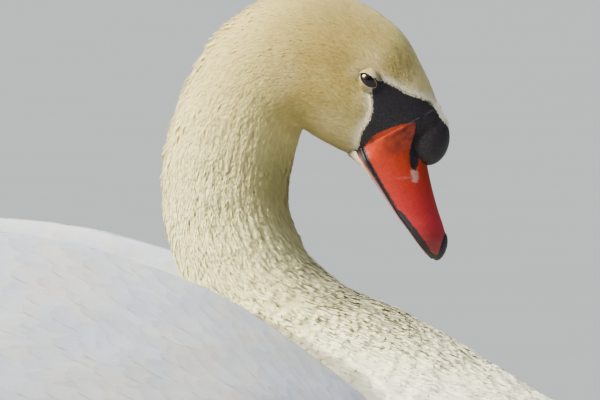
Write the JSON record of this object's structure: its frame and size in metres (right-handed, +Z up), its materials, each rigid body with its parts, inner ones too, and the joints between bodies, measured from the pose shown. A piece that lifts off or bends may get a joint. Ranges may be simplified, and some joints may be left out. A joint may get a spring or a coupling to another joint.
{
  "type": "mute swan",
  "caption": "Life-size still model of an adult mute swan resting on its belly, neck drawn back, bill lowered and wings raised a little.",
  "frame": {"origin": "middle of the flat under the belly, at floor level", "axes": "+X forwards along the body, +Y to the bird's left, +Z up"},
  "size_m": [0.791, 0.3704, 0.5363],
  "materials": {
    "white_feather": "soft matt feathers, off-white",
    "stained_feather": "short plush feathers, stained ochre",
    "wing_feather": "smooth matt vanes, cool white",
    "black_skin": "finely pebbled black skin",
    "orange_bill": "satin horn, orange red",
    "eye": "wet dark brown",
    "foot_skin": "scaly dark grey skin"
  },
  "bodies": {
    "root": {"trunk": "white_feather", "neck_lower": "white_feather", "neck_middle": "white_feather", "neck_upper": "stained_feather", "head": "stained_feather", "bill_upper": "orange_bill", "bill_lower": "black_skin", "bill_knob": "black_skin", "bill_nail": "black_skin", "eye_right": "eye", "eye_left": "eye", "wing_right_coverts": "wing_feather", "wing_right_secondaries": "wing_feather", "wing_right_primaries": "wing_feather", "wing_left_coverts": "wing_feather", "wing_left_secondaries": "wing_feather", "wing_left_primaries": "wing_feather", "tail": "white_feather", "leg_right": "foot_skin", "leg_left": "foot_skin", "foot_right": "foot_skin", "foot_left": "foot_skin", "claw_right_inner": "foot_skin", "claw_right_middle": "foot_skin", "claw_right_outer": "foot_skin", "claw_left_inner": "foot_skin", "claw_left_middle": "foot_skin", "claw_left_outer": "foot_skin"}
  },
  "joints": []
}
